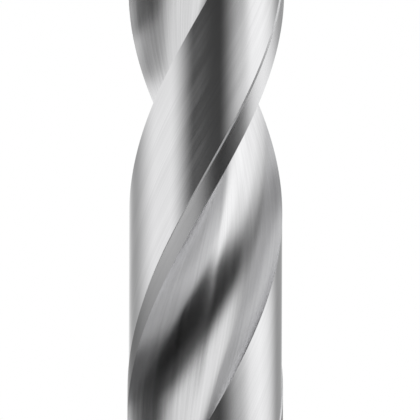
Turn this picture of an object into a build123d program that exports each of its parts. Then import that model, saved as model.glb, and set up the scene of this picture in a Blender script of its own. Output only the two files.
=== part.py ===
from build123d import *
import os
from math import atan2, cos, degrees, pi, radians, sin, sqrt, tan

# Jobber-length twist drill in millimetres, right-hand helix, right-hand cutting.
# The origin is the centre of the shank's flat end, and +Z runs up the axis to the point.

# Overall sizes
DRILL_DIAMETER = 10.0  # across the margins at the outer corners of the point
OVERALL_LENGTH = 133.0
FLUTE_LENGTH = 87.0  # from the point back to where the flutes have run out
SHANK_DIAMETER = 9.95  # the body tapers back to this over the length of the flutes
SHANK_CHAMFER = 0.5

# Helix and cross-section
HELIX_ANGLE = 30.0
WEB_AT_POINT = 1.6
WEB_GROWTH = 0.016  # gain in web thickness for each millimetre back from the point
FLUTE_SPREAD = 95.7  # angle about the axis from the cutting corner to the heel
MARGIN_SPREAD = 13.2
LAND_RELIEF = 0.08  # depth of the land below the margin
MARGIN_SLOPE = 35.0  # of the small step from the land up to the margin
LAND_END_SLOPE = 5.0  # of the lands' rise to the body where they end
FLUTE_WHEEL_RADIUS = 25.0  # of the grinding wheel whose rim shapes the flutes' run-out

# Point, ground as two cones whose axes pass beside the drill's axis
POINT_ANGLE = 118.0
GRIND_CONE_ANGLE = 60.0  # full angle of each cone
APEX_OFFSET = 10.0  # of the apex from the drill's axis, along the lip
APEX_LEAD = 1.83  # of the apex ahead of the lip, which gives the lip its clearance

# Cutting solids
STATIONS = 24  # lengths between sections along a cutter
RAKE_SPANS = 4  # of the curve that draws the rake face in section
OVERRUN = 5.0  # past the ends of a groove
CLEARANCE = 3.0  # outside the body
HEEL_ARC = 120.0  # carries the arc of the flute's heel side out of the body
HEEL_OVERLAP = 12.0  # angle by which the land's cutter runs on past the heel
UNDERCUT = 0.5  # of the land's cutter below the margin's edge

RADIUS = DRILL_DIAMETER / 2
SHANK_RADIUS = SHANK_DIAMETER / 2
SHANK_LENGTH = OVERALL_LENGTH - FLUTE_LENGTH
OUTSIDE = RADIUS + CLEARANCE
HALF_WEB = WEB_AT_POINT / 2
HALF_POINT = radians(POINT_ANGLE / 2)
HALF_CONE = radians(GRIND_CONE_ANGLE / 2)
LEAD = pi * DRILL_DIAMETER / tan(radians(HELIX_ANGLE))
ON_BASE = (Align.CENTER, Align.CENTER, Align.MIN)
BELOW_APEX = (Align.CENTER, Align.CENTER, Align.MAX)

# The helix turns by this much (radians) over the height of one millimetre of lip
TURN_ALONG_LIP = 2 * pi / LEAD / tan(HALF_POINT)
LIP_REACH = sqrt(RADIUS**2 - HALF_WEB**2)
CORNER_ANGLE = atan2(HALF_WEB, LIP_REACH) + TURN_ALONG_LIP * LIP_REACH
HEEL_ANGLE = CORNER_ANGLE + radians(FLUTE_SPREAD)


def polar(radius, angle):
    return (radius * cos(angle), radius * sin(angle))


def helix_turn(z):
    """Degrees by which the section at height z is turned from the one at the point."""
    return 360 * (z - OVERALL_LENGTH) / LEAD


def body_radius(z):
    return SHANK_RADIUS + (RADIUS - SHANK_RADIUS) * (z - SHANK_LENGTH) / FLUTE_LENGTH


def web_gain(z):
    """Thickening of half the web at height z."""
    return WEB_GROWTH / 2 * (OVERALL_LENGTH - z)


# The flutes start to rise here, and reach the surface at the shank
FLUTE_DEPTH = SHANK_RADIUS - HALF_WEB - web_gain(SHANK_LENGTH)
CLIMB_LENGTH = sqrt(FLUTE_WHEEL_RADIUS**2 - (FLUTE_WHEEL_RADIUS - FLUTE_DEPTH) ** 2)
FLUTE_RISE = SHANK_LENGTH + CLIMB_LENGTH


def climb(z):
    """Height of the wheel's rim above the bottom of the flute at height z."""
    into = max(0.0, FLUTE_RISE - z)
    return FLUTE_WHEEL_RADIUS - sqrt(FLUTE_WHEEL_RADIUS**2 - into**2)


def lip_point(along):
    """Point of the straight lip, turned back down the helix into the section at the point."""
    turn = TURN_ALONG_LIP * along
    x = along * cos(turn) - HALF_WEB * sin(turn)
    y = along * sin(turn) + HALF_WEB * cos(turn)
    return (x, y)


def lip_slope(along):
    turn = TURN_ALONG_LIP * along
    x, y = lip_point(along)
    return (cos(turn) - TURN_ALONG_LIP * y, sin(turn) + TURN_ALONG_LIP * x)


def flute_section(z):
    """Rake face that gives a straight lip, then an arc through the heel."""
    rake_reach = LIP_REACH + CLEARANCE
    rake = Spline(
        *[lip_point(rake_reach * span / RAKE_SPANS) for span in range(RAKE_SPANS + 1)],
        tangents=[lip_slope(0), lip_slope(rake_reach)],
    )
    heel_x, heel_y = polar(RADIUS, HEEL_ANGLE)
    heel_rise = heel_y - HALF_WEB
    heel_radius = (heel_x**2 + heel_rise**2) / (2 * heel_rise)
    heel_arc = JernArc((0, HALF_WEB), (-1, 0), heel_radius, -HEEL_ARC)
    rake_end = rake @ 1
    heel_end = heel_arc @ 1
    ceiling = OUTSIDE + CLEARANCE
    closing = Polyline(heel_end, (heel_end.X, ceiling), (rake_end.X, ceiling), rake_end)
    outline = make_face([rake, heel_arc] + closing.edges())
    return Pos(0, web_gain(z) + climb(z), 0) * outline


def land_section(z):
    """Wedge over the land: a sloped side at the margin's edge, and a side past the heel."""
    corner = CORNER_ANGLE + web_gain(z) * cos(CORNER_ANGLE) / RADIUS
    step = corner - radians(MARGIN_SPREAD)
    edge = Vector(*polar(body_radius(z), step))
    up_slope = Vector(*polar(1, step + pi / 2 - radians(MARGIN_SLOPE)))
    reach = CLEARANCE / sin(radians(MARGIN_SLOPE))
    inner = edge - up_slope * UNDERCUT
    outer = edge + up_slope * reach
    past_heel = HEEL_ANGLE - pi - radians(HEEL_OVERLAP)
    wedge = Polyline(
        inner,
        outer,
        polar(outer.length, (step + past_heel) / 2),
        polar(outer.length, past_heel),
        polar(inner.length, past_heel),
        close=True,
    )
    return make_face(wedge)


def helical_cutter(section, bottom):
    """Solid through one outline's sections, from this height up past the point."""
    length = OVERALL_LENGTH + OVERRUN - bottom
    heights = [bottom + length * station / STATIONS for station in range(STATIONS + 1)]
    return loft([Pos(0, 0, z) * Rot(0, 0, helix_turn(z)) * section(z) for z in heights])


def land_core():
    """Turned form that the lands are ground down to, with a cone up to the body at their end."""
    land = Cone(SHANK_RADIUS - LAND_RELIEF, RADIUS - LAND_RELIEF, FLUTE_LENGTH, align=ON_BASE)
    end_slope = tan(radians(LAND_END_SLOPE))
    end_length = CLEARANCE / end_slope
    foot = FLUTE_RISE + LAND_RELIEF / end_slope
    foot_radius = body_radius(foot) - LAND_RELIEF
    end = Cone(foot_radius + CLEARANCE, foot_radius, end_length, align=BELOW_APEX)
    return Pos(0, 0, SHANK_LENGTH) * land + Pos(0, 0, foot) * end


def blank():
    """Turned blank: chamfered parallel shank, then the body with its back taper."""
    shank = Cylinder(SHANK_RADIUS, SHANK_LENGTH, align=ON_BASE)
    shank = chamfer(shank.edges().sort_by(Axis.Z)[0], SHANK_CHAMFER)
    body = Cone(SHANK_RADIUS, RADIUS, FLUTE_LENGTH, align=ON_BASE)
    return shank + Pos(0, 0, SHANK_LENGTH) * body


def grinding_cone():
    """Cone that carries one flank, tilted so that its side lies along the lip."""
    tilt = HALF_POINT - HALF_CONE
    beside = HALF_WEB + APEX_LEAD
    # Depth below the apex at which the cone crosses the drill's axis: a quadratic's root
    square = cos(tilt) ** 2 - cos(HALF_CONE) ** 2
    half_linear = APEX_OFFSET * sin(tilt) * cos(tilt)
    constant = (APEX_OFFSET * sin(tilt)) ** 2
    constant -= cos(HALF_CONE) ** 2 * (APEX_OFFSET**2 + beside**2)
    depth = (sqrt(half_linear**2 - square * constant) - half_linear) / square
    length = 2 * OVERALL_LENGTH
    cone = Cone(length * tan(HALF_CONE), 0, length, align=BELOW_APEX)
    return Pos(-APEX_OFFSET, beside, OVERALL_LENGTH + depth) * Rot(0, -degrees(tilt), 0) * cone


def drill_bit():
    half_turn = Rot(0, 0, 180)
    cone = grinding_cone()
    drill = blank() & cone & half_turn * cone
    flute = helical_cutter(flute_section, SHANK_LENGTH - OVERRUN)
    land_space = helical_cutter(land_section, FLUTE_RISE - OVERRUN) - land_core()
    for cutter in (flute, land_space):
        drill = drill - cutter - half_turn * cutter
    return drill


os.makedirs("parts", exist_ok=True)
export_step(drill_bit(), "parts/drill_bit.step")
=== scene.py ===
from functools import lru_cache
from math import atan2, cos, hypot, pi, radians, sin, sqrt, tan

import bmesh
import bpy
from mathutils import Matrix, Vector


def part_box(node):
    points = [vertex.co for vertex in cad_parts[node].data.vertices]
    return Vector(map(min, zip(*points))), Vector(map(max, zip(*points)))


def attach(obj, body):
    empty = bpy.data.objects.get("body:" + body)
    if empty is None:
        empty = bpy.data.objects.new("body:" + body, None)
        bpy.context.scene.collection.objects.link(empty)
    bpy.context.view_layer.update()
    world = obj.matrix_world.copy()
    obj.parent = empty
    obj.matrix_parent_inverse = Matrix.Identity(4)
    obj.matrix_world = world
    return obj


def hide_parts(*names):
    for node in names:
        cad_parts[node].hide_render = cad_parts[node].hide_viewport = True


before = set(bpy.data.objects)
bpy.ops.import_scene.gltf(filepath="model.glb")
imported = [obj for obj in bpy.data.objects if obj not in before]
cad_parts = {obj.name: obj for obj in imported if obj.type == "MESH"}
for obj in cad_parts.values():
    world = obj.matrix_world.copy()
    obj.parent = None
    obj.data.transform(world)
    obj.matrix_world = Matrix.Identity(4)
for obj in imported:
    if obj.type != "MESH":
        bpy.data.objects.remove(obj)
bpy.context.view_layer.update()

# The drill's form: lengths in millimetres, slopes and spreads in degrees unless turned to
# radians here. It stands on the shank's flat end, at 0, with its point at LENGTH
MM = 0.001
LENGTH = 133.0
RADIUS = 5.0
SHANK_RADIUS = 4.975
SHANK_CHAMFER = 0.5
SHANK_LENGTH = 46.0
HELIX_ANGLE = 30.0
HALF_WEB = 0.8
HALF_WEB_GROWTH = 0.008
FLUTE_SPREAD = 95.7
MARGIN_SPREAD = 13.2
LAND_RELIEF = 0.08
MARGIN_SLOPE = 35.0
LAND_END_SLOPE = 5.0
WHEEL_RADIUS = 25.0
HALF_POINT = radians(59)
HALF_CONE = radians(30)
APEX_OFFSET = 10.0
APEX_LEAD = 1.83

LEAD = 2 * pi * RADIUS / tan(radians(HELIX_ANGLE))
TURN_ALONG_LIP = 2 * pi / LEAD / tan(HALF_POINT)
LIP_REACH = sqrt(RADIUS**2 - HALF_WEB**2)
CORNER_ANGLE = atan2(HALF_WEB, LIP_REACH) + TURN_ALONG_LIP * LIP_REACH
HEEL_ANGLE = CORNER_ANGLE + radians(FLUTE_SPREAD)
HEEL_RISE = RADIUS * sin(HEEL_ANGLE) - HALF_WEB
HEEL_ARC_RADIUS = ((RADIUS * cos(HEEL_ANGLE)) ** 2 + HEEL_RISE**2) / (2 * HEEL_RISE)
FLUTE_DEPTH = SHANK_RADIUS - HALF_WEB - HALF_WEB_GROWTH * (LENGTH - SHANK_LENGTH)
CLIMB_LENGTH = sqrt(WHEEL_RADIUS**2 - (WHEEL_RADIUS - FLUTE_DEPTH) ** 2)
FLUTE_RISE = SHANK_LENGTH + CLIMB_LENGTH
LAND_FOOT = FLUTE_RISE + LAND_RELIEF / tan(radians(LAND_END_SLOPE))

# Spans of the mesh, across and along the drill
LAND_SPANS = 40
MARGIN_SPANS = 14
LIP_SPANS = 24
CHISEL_SPANS = 3
HEEL_SPANS = 24
SHANK_ROWS = 10
BODY_ROWS = 330
POINT_ROWS = 20
FLANK_ROWS = 12
POINT_START = 127.5

# The kind of surface of each span in half an outline, and the line at the chisel edge's end
FLUTED_KINDS = ["land"] * LAND_SPANS + ["step"] + ["margin"] * MARGIN_SPANS
FLUTED_KINDS += ["flute"] * (LIP_SPANS + CHISEL_SPANS + HEEL_SPANS)
HALF = len(FLUTED_KINDS)
SHANK_KINDS = ["shank"] * HALF
KINDS = ["land", "step", "margin", "flute", "shank", "shank_end", "flank"]
CHISEL_LINE = LAND_SPANS + 1 + MARGIN_SPANS + LIP_SPANS

# How far the searches for a crossing look, in millimetres, and how often they halve that
LONGEST_REACH = 1.3 * RADIUS
BELOW_POINT = 10.0
ABOVE_POINT = 1.0
CHISEL_BOW = 0.3
HALVINGS = 36

# Corners nearer than this become one, in metres, and edges sharper than this stay crisp
MERGE_DISTANCE = 2e-7
CRISP_ANGLE = radians(20)


def crossing(low, high, past):
    """Value between low and high from which past(value) is true."""
    for _ in range(HALVINGS):
        middle = (low + high) / 2
        if past(middle):
            high = middle
        else:
            low = middle
    return (low + high) / 2


def body_radius(z):
    """Radius of the margins, which taper back from the point to the shank."""
    return SHANK_RADIUS + (RADIUS - SHANK_RADIUS) * (z - SHANK_LENGTH) / (LENGTH - SHANK_LENGTH)


def land_radius(z):
    """Radius of the relieved land, which meets the margins' where the flutes begin to climb out."""
    relief = LAND_RELIEF - max(0.0, LAND_FOOT - z) * tan(radians(LAND_END_SLOPE))
    return body_radius(z) - max(0.0, relief)


def flute_shift(z):
    """How much further out the flute's floor lies at height z than at the point."""
    into = min(max(0.0, FLUTE_RISE - z), CLIMB_LENGTH)
    climb = WHEEL_RADIUS - sqrt(WHEEL_RADIUS**2 - into**2)
    return HALF_WEB_GROWTH * (LENGTH - z) + climb


def rake_point(along, z):
    """Point of the flute's rake side, by its distance along the straight lip that it ends in."""
    turn = TURN_ALONG_LIP * along
    x = along * cos(turn) - HALF_WEB * sin(turn)
    y = along * sin(turn) + HALF_WEB * cos(turn)
    return (x, y + flute_shift(z))


def heel_point(sweep, z):
    """Point of the flute's round heel side, by its angle along the heel's arc."""
    x = -HEEL_ARC_RADIUS * sin(sweep)
    y = HALF_WEB + HEEL_ARC_RADIUS * (1 - cos(sweep))
    return (x, y + flute_shift(z))


def arc(radius, start, end, spans):
    angles = [start + (end - start) * span / spans for span in range(spans + 1)]
    return [(radius * cos(angle), radius * sin(angle)) for angle in angles]


def helix(point, z):
    """A section's point, turned about the axis to where the helix has it at height z."""
    x, y = point
    angle = 2 * pi * (z - LENGTH) / LEAD
    return (x * cos(angle) - y * sin(angle), x * sin(angle) + y * cos(angle))


def cone_depth(x, y):
    """Depth at (x, y) of the grinding cone's surface below the level of its apex."""
    tilt = HALF_POINT - HALF_CONE
    square = cos(tilt) ** 2 - cos(HALF_CONE) ** 2
    half_linear = (x + APEX_OFFSET) * sin(tilt) * cos(tilt)
    beside = y - HALF_WEB - APEX_LEAD
    constant = ((x + APEX_OFFSET) * sin(tilt)) ** 2
    constant -= cos(HALF_CONE) ** 2 * ((x + APEX_OFFSET) ** 2 + beside**2)
    return (sqrt(half_linear**2 - square * constant) - half_linear) / square


def cone_height(x, y):
    """Height at (x, y) of the cone that carries the first flank: LENGTH on the drill's axis."""
    return LENGTH + cone_depth(0, 0) - cone_depth(x, y)


def on_second_flank(x, y):
    return cone_height(x, y) < cone_height(-x, -y)


@lru_cache(maxsize=None)
def ends(z):
    """Reach of the rake curve and sweep of the heel arc out to the surface at height z."""
    outer, land = body_radius(z), land_radius(z)
    reach = crossing(0, LONGEST_REACH, lambda along: hypot(*rake_point(along, z)) > outer)
    sweep = crossing(0, pi / 2, lambda angle: hypot(*heel_point(angle, z)) > land)
    return reach, sweep


def lip_surface(along):
    """Height at which the rake curve's point meets the first flank, and its place there."""

    def place(z):
        return helix(rake_point(along, z), z)

    z = crossing(LENGTH - BELOW_POINT, LENGTH + ABOVE_POINT, lambda z: z > cone_height(*place(z)))
    return z, place(z)


# The chisel edge leaves the rake curve where the two flanks cross
chisel_along = crossing(0, HALF_WEB, lambda along: on_second_flank(*lip_surface(along)[1]))
CHISEL_SHARE = chisel_along / ends(lip_surface(chisel_along)[0])[0]


@lru_cache(maxsize=None)
def half_section(z):
    """Half the drill's outline, from a heel round over land, margin, rake face and flute."""
    reach, sweep = ends(z)
    outer = body_radius(z)
    land = land_radius(z)
    corner = rake_point(reach, z)
    heel = heel_point(sweep, z)
    gain = HALF_WEB_GROWTH * (LENGTH - z) * cos(CORNER_ANGLE) / RADIUS
    step = CORNER_ANGLE + gain - radians(MARGIN_SPREAD)
    foot = step - (outer - land) / outer / tan(radians(MARGIN_SLOPE))
    outline = arc(land, atan2(heel[1], heel[0]) - pi, foot, LAND_SPANS)
    outline += arc(outer, step, atan2(corner[1], corner[0]), MARGIN_SPANS)
    shares = [1 - (1 - CHISEL_SHARE) * span / LIP_SPANS for span in range(1, LIP_SPANS + 1)]
    shares += [CHISEL_SHARE * (1 - span / CHISEL_SPANS) for span in range(1, CHISEL_SPANS + 1)]
    outline += [rake_point(reach * share, z) for share in shares]
    outline += [heel_point(sweep * span / HEEL_SPANS, z) for span in range(1, HEEL_SPANS)]
    return [helix(point, z) for point in outline]


def line_height(line):
    """Height at which one line along the drill meets the nearer of the two flanks."""

    def past_flanks(z):
        x, y = half_section(z)[line]
        return z > min(cone_height(x, y), cone_height(-x, -y))

    return crossing(POINT_START, LENGTH + ABOVE_POINT, past_flanks)


def chisel_point(share, end):
    """Point of the chisel edge: off the straight line between its ends, where the flanks cross."""
    reach = hypot(*end)
    side = (-end[1] / reach, end[0] / reach)

    def spot(off):
        return (end[0] * share + side[0] * off, end[1] * share + side[1] * off)

    flip = on_second_flank(*spot(CHISEL_BOW))
    return spot(crossing(-CHISEL_BOW, CHISEL_BOW, lambda off: on_second_flank(*spot(off)) == flip))


# The mesh, in millimetres. A ring is the list of its corners' numbers
vertices = []
faces = []
kinds = []


def add_ring(points):
    first = len(vertices)
    vertices.extend(points)
    return list(range(first, len(vertices)))


def add_round(half):
    """Adds a ring right round the drill from half of it."""
    return add_ring([(x, y, z) for x, y, z in half] + [(-x, -y, z) for x, y, z in half])


def add_face(corners, kind):
    faces.append(corners)
    kinds.append(kind)


def join(lower, upper, half_kinds):
    """Joins two rings that go right round the drill."""
    for line in range(2 * HALF):
        after = (line + 1) % (2 * HALF)
        corners = [lower[line], lower[after], upper[after], upper[line]]
        add_face(corners, half_kinds[line % HALF])


def add_shank():
    """Adds the shank from its flat end up, and gives its last ring."""
    outline = half_section(SHANK_LENGTH)
    levels = [(0.0, SHANK_RADIUS - SHANK_CHAMFER), (SHANK_CHAMFER, SHANK_RADIUS)]
    levels += [(SHANK_LENGTH * row / SHANK_ROWS, SHANK_RADIUS) for row in range(1, SHANK_ROWS)]
    rings = []
    for z, radius in levels:
        scale = radius / SHANK_RADIUS
        rings.append(add_round([(x * scale, y * scale, z) for x, y in outline]))
    for lower, upper in zip(rings, rings[1:]):
        join(lower, upper, SHANK_KINDS)
    add_face(rings[0][::-1], "shank_end")
    return rings[-1]


def add_body(below):
    """Adds the fluted body over the shank's last ring, and gives its own last ring."""
    half_kinds = SHANK_KINDS
    for row in range(BODY_ROWS + 1):
        z = SHANK_LENGTH + (POINT_START - SHANK_LENGTH) * row / BODY_ROWS
        ring = add_round([(x, y, z) for x, y in half_section(z)])
        join(below, ring, half_kinds)
        below, half_kinds = ring, FLUTED_KINDS
    return below


def add_point(below):
    """Carries every line of the body on to where it meets the flanks, and gives their rim."""
    tops = [line_height(line) for line in range(HALF)]
    for row in range(1, POINT_ROWS + 1):
        points = []
        for line, top in enumerate(tops):
            z = POINT_START + (top - POINT_START) * row / POINT_ROWS
            points.append((*half_section(z)[line], z))
        ring = add_round(points)
        join(below, ring, FLUTED_KINDS)
        below = ring
    return below


def add_flanks(rim):
    """Closes the point with two flanks, each between half the rim and the chisel edge."""
    end = vertices[rim[CHISEL_LINE]][:2]
    chisel = [chisel_point(2 * span / HALF - 1, end) for span in range(HALF + 1)]
    chisel[0] = (-end[0], -end[1])
    chisel[HALF] = end
    edge = add_ring([(x, y, cone_height(x, y)) for x, y in chisel])
    for side, first, inner in ((1, CHISEL_LINE + HALF, edge), (-1, CHISEL_LINE, edge[::-1])):
        rows = [[rim[(first + line) % (2 * HALF)] for line in range(HALF + 1)]]
        for row in range(1, FLANK_ROWS):
            share = row / FLANK_ROWS
            points = []
            for outer, near in zip(rows[0], inner):
                x = vertices[outer][0] * (1 - share) + vertices[near][0] * share
                y = vertices[outer][1] * (1 - share) + vertices[near][1] * share
                points.append((x, y, cone_height(side * x, side * y)))
            rows.append(add_ring(points))
        rows.append(inner)
        for lower, upper in zip(rows, rows[1:]):
            for line in range(HALF):
                corners = [lower[line], lower[line + 1], upper[line + 1], upper[line]]
                add_face(corners, "flank")


def scale_into(low, high):
    """Metres for a millimetre along each axis, a little less where the mesh would pass the box."""
    scale = []
    for axis in range(3):
        reach = max(vertex[axis] for vertex in vertices) * MM
        room = high[axis] if axis == 2 else min(high[axis], -low[axis])
        scale.append(min(1, room / reach) * MM)
    return scale


def add_object(name, data):
    made = bpy.data.objects.new(name, data)
    bpy.context.collection.objects.link(made)
    return made


add_flanks(add_point(add_body(add_shank())))

# The CAD mesh is faceted, so its box is a few micrometres smaller: the drill is kept inside it
scale = scale_into(*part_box("drill_bit"))
mesh = bpy.data.meshes.new("drill")
mesh.from_pydata([[value * by for value, by in zip(v, scale)] for v in vertices], [], faces)
mesh.polygons.foreach_set("material_index", [KINDS.index(kind) for kind in kinds])
mesh.validate()
mesh.update()
drill = add_object("drill", mesh)

work = bmesh.new()
work.from_mesh(mesh)
bmesh.ops.remove_doubles(work, verts=work.verts, dist=MERGE_DISTANCE)
bmesh.ops.recalc_face_normals(work, faces=work.faces)
work.to_mesh(mesh)
work.free()
mesh.shade_smooth()
mesh.set_sharp_from_angle(angle=CRISP_ANGLE)


# Node helpers, shared by the materials and the studio
class Graph:
    """Adds nodes to one node tree, with values or sockets as their inputs."""

    def __init__(self, tree):
        self.tree = tree

    def node(self, kind, inputs=(), **settings):
        made = self.tree.nodes.new(kind)
        for name, value in settings.items():
            setattr(made, name, value)
        for key, value in dict(inputs).items():
            self.put(value, made.inputs[key])
        return made

    def put(self, value, socket):
        if isinstance(value, bpy.types.NodeSocket):
            self.tree.links.new(value, socket)
        else:
            socket.default_value = value

    def math(self, operation, *values):
        return self.node("ShaderNodeMath", enumerate(values), operation=operation).outputs[0]

    def vector(self, operation, *values, output="Vector"):
        made = self.node("ShaderNodeVectorMath", enumerate(values), operation=operation)
        return made.outputs[output]

    def parts(self, vector):
        return self.node("ShaderNodeSeparateXYZ", [(0, vector)]).outputs

    def span(self, value, low, high, to_low=0.0, to_high=1.0, smooth=True):
        kind = "SMOOTHSTEP" if smooth else "LINEAR"
        inputs = enumerate((value, low, high, to_low, to_high))
        return self.node("ShaderNodeMapRange", inputs, interpolation_type=kind).outputs[0]

    def mix(self, share, low, high):
        inputs = ((0, share), (2, low), (3, high))
        return self.node("ShaderNodeMix", inputs, data_type="FLOAT").outputs[0]


def new_material(name):
    made = bpy.data.materials.new(name)
    made.use_nodes = True
    return made, Graph(made.node_tree), made.node_tree.nodes["Principled BSDF"]


# Wheel marks: each axis of their noise is multiplied by these, so that they run long along the
# helix, round the axis, or in rings on a face across it. Broad marks are as many times wider
HELIX_STRETCH = (1, 1, 0.012)
ROUND_STRETCH = (0.02, 0.02, 1)
RINGS_STRETCH = (0.05, 0.05, 1)
BROAD_TIMES = 7
FINE_DETAIL = 2.0
BROAD_DETAIL = 3.0
# The part of the noise's range that is spread over the tone and over the roughness
TONE_RANGE = (0.35, 0.65)
ROUGHNESS_RANGE = (0.3, 0.7)
# Steel is a hundredth bluer than grey
BLUE_CAST = 1.01


def marks_space(graph, in_mm, height, run):
    """Place whose axes the wheel marks follow, and how much each of them is stretched."""
    if run == "helix":
        unwound = graph.node("ShaderNodeVectorRotate", rotation_type="Z_AXIS")
        graph.put(in_mm, unwound.inputs["Vector"])
        graph.put(graph.math("MULTIPLY", height, -2 * pi / LEAD), unwound.inputs["Angle"])
        return unwound.outputs[0], HELIX_STRETCH
    if run == "rings":
        level = graph.vector("MULTIPLY", in_mm, (1, 1, 0))
        radius = graph.vector("LENGTH", level, output="Value")
        across = graph.parts(in_mm)
        inputs = ((0, across[0]), (1, across[1]), (2, radius))
        return graph.node("ShaderNodeCombineXYZ", inputs).outputs[0], RINGS_STRETCH
    return in_mm, ROUND_STRETCH


def marks(graph, place, scale, detail):
    noise = graph.node("ShaderNodeTexNoise", {"Vector": place, "Scale": scale, "Detail": detail})
    return noise.outputs["Fac"]


def ground_steel(name, grey, roughness, run, lines, depth, spread=0.10, tint=0.08, painted_light_by_height=None):
    """Bare tool steel with wheel marks that run along the helix, round the axis or in rings.

    lines is how close the fine marks are, depth their bump in metres, spread and tint how far
    they move the roughness and the tone. The last argument gives two heights in millimetres, and
    the tone's factor at each: painted shade and highlight, darker lower down and lighter higher up.
    """
    made, graph, shader = new_material(name)
    place = graph.node("ShaderNodeTexCoord").outputs["Object"]
    scaled = graph.node("ShaderNodeVectorMath", [(0, place), (3, 1 / MM)], operation="SCALE")
    in_mm = scaled.outputs[0]
    height = graph.parts(in_mm)[2]
    space, stretch = marks_space(graph, in_mm, height, run)
    stretched = graph.vector("MULTIPLY", space, stretch)
    fine = marks(graph, stretched, lines, FINE_DETAIL)
    broad = marks(graph, stretched, lines / BROAD_TIMES, BROAD_DETAIL)
    both = graph.math("ADD", graph.math("MULTIPLY", fine, 0.5), graph.math("MULTIPLY", broad, 0.5))

    tone = graph.span(both, *TONE_RANGE, 1 - tint, 1 + tint, smooth=False)
    shade = graph.math("MULTIPLY", tone, grey)
    # Painted shade and highlight: the tone is scaled by height, from the lower factor to the higher
    if painted_light_by_height:
        shade = graph.math("MULTIPLY", shade, graph.span(height, *painted_light_by_height))
    blue = graph.math("MULTIPLY", shade, BLUE_CAST)
    colour = graph.node("ShaderNodeCombineColor", [(0, shade), (1, shade), (2, blue)])
    rough = (roughness - spread / 2, roughness + spread / 2)
    bump = graph.node("ShaderNodeBump", {"Height": both, "Distance": depth, "Strength": 1.0})
    graph.put(colour.outputs[0], shader.inputs["Base Color"])
    graph.put(1.0, shader.inputs["Metallic"])
    graph.put(graph.span(broad, *ROUGHNESS_RANGE, *rough, smooth=False), shader.inputs["Roughness"])
    graph.put(bump.outputs[0], shader.inputs["Normal"])
    return made


FINISHES = {
    "land": dict(
        grey=0.70, roughness=0.06, run="helix", lines=12, depth=5e-8, spread=0.03, tint=0.05
    ),
    "step": dict(grey=0.60, roughness=0.38, run="helix", lines=9, depth=2e-7),
    "margin": dict(
        grey=0.54, roughness=0.26, run="helix", lines=12, depth=2e-7, spread=0.06, tint=0.04,
        # painted shade and highlight on the margins: half as bright at 78 mm, 1.3 times as bright
        # at 95 mm
        painted_light_by_height=(78, 95, 0.5, 1.3),
    ),
    "flute": dict(grey=0.71, roughness=0.20, run="helix", lines=8, depth=2.5e-7),
    "shank": dict(
        grey=0.66, roughness=0.20, run="round", lines=7, depth=1.5e-7, spread=0.08, tint=0.05
    ),
    "shank_end": dict(grey=0.60, roughness=0.34, run="rings", lines=6, depth=1e-6),
    "flank": dict(grey=0.60, roughness=0.22, run="rings", lines=7, depth=4e-7),
}
for kind in KINDS:
    mesh.materials.append(ground_steel("steel_" + kind, **FINISHES[kind]))

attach(drill, "root")
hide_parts("drill_bit")

# Floor: a pale disc that fades into the white around it, in metres
FLOOR_RADIUS = 0.40
FLOOR_SIDES = 128
FADE_START = 0.12
FADE_END = 0.97 * FLOOR_RADIUS
PAPER_TONE = (0.86, 0.86, 0.86, 1)
PAPER_ROUGHNESS = 0.9

floor_mesh = bpy.data.meshes.new("floor")
rim = [(x, y, 0) for x, y in arc(FLOOR_RADIUS, 0, 2 * pi, FLOOR_SIDES)[:-1]]
floor_mesh.from_pydata(rim, [], [list(range(FLOOR_SIDES))])
floor = add_object("floor", floor_mesh)
floor.visible_glossy = False

paper, graph, shader = new_material("paper")
shader.inputs["Base Color"].default_value = PAPER_TONE
shader.inputs["Roughness"].default_value = PAPER_ROUGHNESS
floor_place = graph.node("ShaderNodeTexCoord").outputs["Object"]
from_drill = graph.vector("LENGTH", floor_place, output="Value")
camera_ray = graph.node("ShaderNodeLightPath").outputs["Is Camera Ray"]
fade = graph.math("MULTIPLY", graph.span(from_drill, FADE_START, FADE_END), camera_ray)
white = graph.node("ShaderNodeEmission", {"Strength": 1.0}).outputs[0]
faded = graph.node("ShaderNodeMixShader", [(0, fade), (1, shader.outputs[0]), (2, white)])
graph.put(faded.outputs[0], paper.node_tree.nodes["Material Output"].inputs[0])
floor_mesh.materials.append(paper)

# A broad soft lamp for the drill's shadow on the floor, in metres and watts
LAMP_SIZE = 0.25
LAMP_POWER = 1.1
LAMP_PLACE = (-0.30, -0.25, 0.55)

lamp_data = bpy.data.lights.new("lamp", "AREA")
lamp_data.shape = "DISK"
lamp_data.size = LAMP_SIZE
lamp_data.energy = LAMP_POWER
lamp = add_object("lamp", lamp_data)
lamp.location = LAMP_PLACE
lamp.rotation_euler = (-lamp.location.normalized()).to_track_quat("-Z", "Y").to_euler()
lamp.visible_glossy = False

# Studio: panels and flags that only reflections see, each a soft-edged patch of direction in
# degrees. Azimuth 0 is in front of the drill and 90 to its right, and slant is how far a panel
# leans, in azimuth for each degree up. A later panel covers an earlier one
# name: azimuth, elevation, half width, half height, softness across and up, slant, radiance
PANELS = {
    "front_flag": (3, -6, 38, 46, 40, 21, -0.3, 0.085),
    "low_flag": (41, -29, 29, 28.2, 28, 1.2, 0.35, 0.015),
    "high_flag": (10.5, 13.5, 43, 12.7, 26, 1.2, -1.8, 0.02),
    "left_box_low": (-62, -16, 50, 14.4, 38, 1.6, 0.54, 0.90),
    "left_box": (-56.5, 20.2, 44, 18.6, 36, 1.6, -0.59, 1.01),
    "left_floor": (-44, -40, 42, 12, 12.5, 14, -0.6, 0.32),
    "low_left_flag": (-11, -46, 30, 10.6, 14, 6, -0.4, 0.03),
    "right_box": (81, 28, 18, 29.5, 22, 10, -0.05, 1.26),
    "top_box": (54, 43, 20.6, 12, 28, 17, -0.16, 1.20),
    "back_right_flag": (148, 0, 26, 35, 37, 20, -0.25, 0.40),
    "back_left_flag": (-130, 3, 28, 38, 53, 20, 1.5, 0.46),
    "edge_flag": (-45, 40, 50, 10, 28, 19, 0.37, 0.18),
    "overhead": (0, 90, 200, 24, 10, 16, 0, 0.70),
}
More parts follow.
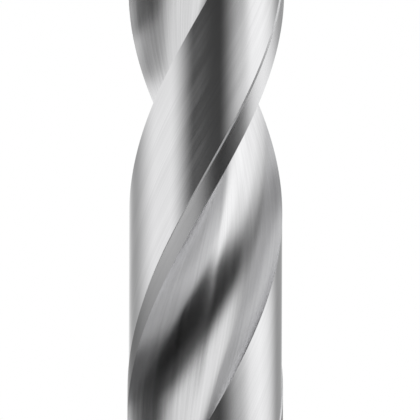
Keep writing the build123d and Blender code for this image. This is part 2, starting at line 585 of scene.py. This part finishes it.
# The panels that a reflection of a reflection sees instead
SECOND_PANELS = {
    "left_shade": (-110, 4, 71, 90, 108, 10, -0.53, 0.17),
    "right_shade": (94, 0, 25, 90, 32, 10, 0, 0.55),
    "front_left": (-34, 0, 30, 90, 45, 10, -0.9, 0.64),
    "front_right": (37, -4, 37, 30, 40, 21, 0.18, 0.68),
    "front_top": (8, 24, 46, 9, 40, 9, 0, 1.02),
}
# Radiance around the panels, to third and later reflections, to rays that aren't reflections,
# and to the camera
AROUND = 1.05
LATER = 1.2
SOFT_LIGHT = 0.8
BACKDROP = 1.0
# Glossy Depth is 1 for a first reflection: these lie past it and past the second
SECOND_DEPTH = 1.5
THIRD_DEPTH = 2.5

world = bpy.data.worlds.new("studio")
bpy.context.scene.world = world
world.use_nodes = True
world.cycles.sampling_method = "NONE"
world.node_tree.nodes.clear()
graph = Graph(world.node_tree)
direction = graph.parts(graph.node("ShaderNodeTexCoord").outputs["Generated"])
toward_front = graph.math("MULTIPLY", direction[1], -1)
azimuth = graph.math("DEGREES", graph.math("ARCTAN2", direction[0], toward_front))
elevation = graph.math("DEGREES", graph.math("ARCSINE", direction[2]))


def panel(light, centre, height, wide, high, soft, soft_up, slant, radiance):
    """Lays one soft-edged panel over the light that comes from behind it."""
    rise = graph.math("SUBTRACT", elevation, height)
    across = graph.math("SUBTRACT", azimuth, graph.math("MULTIPLY_ADD", rise, slant, centre))
    across = graph.math("ABSOLUTE", graph.math("WRAP", across, 180, -180))
    side = graph.span(across, wide - soft / 2, wide + soft / 2, 1, 0)
    up = graph.span(graph.math("ABSOLUTE", rise), high - soft_up / 2, high + soft_up / 2, 1, 0)
    return graph.mix(graph.math("MULTIPLY", side, up), light, radiance)


def seen(panels):
    """Radiance by direction: the panels, laid over an even light."""
    light = AROUND
    for sizes in panels.values():
        light = panel(light, *sizes)
    return light


ray = graph.node("ShaderNodeLightPath").outputs
again = graph.math("GREATER_THAN", ray["Glossy Depth"], SECOND_DEPTH)
later = graph.math("GREATER_THAN", ray["Glossy Depth"], THIRD_DEPTH)
light = graph.mix(again, seen(PANELS), seen(SECOND_PANELS))
light = graph.mix(later, light, LATER)
light = graph.mix(ray["Is Glossy Ray"], SOFT_LIGHT, light)
light = graph.mix(ray["Is Camera Ray"], light, BACKDROP)
light = graph.mix(ray["Is Transmission Ray"], light, BACKDROP)
background = graph.node("ShaderNodeBackground", {"Color": (1, 1, 1, 1), "Strength": light})
graph.node("ShaderNodeOutputWorld", [(0, background.outputs[0])])

# Camera: so long a lens that the lands reflect the same flags all the way up. The picture's
# width and centre are in millimetres at the drill's axis, and the roll is in degrees
LENS = 1500.0
SENSOR = 36.0
VIEW_WIDTH = 26.89
VIEW_CENTRE = (0.272, 87.01)
VIEW_ROLL = -0.17

camera_data = bpy.data.cameras.new("camera")
camera_data.lens = LENS
camera_data.sensor_width = SENSOR
camera = add_object("camera", camera_data)
distance = VIEW_WIDTH * LENS / SENSOR
camera.location = (VIEW_CENTRE[0] * MM, -distance * MM, VIEW_CENTRE[1] * MM)
camera.rotation_euler = (pi / 2, radians(VIEW_ROLL), 0)
bpy.context.scene.camera = camera
bpy.context.scene.view_settings.view_transform = "Standard"
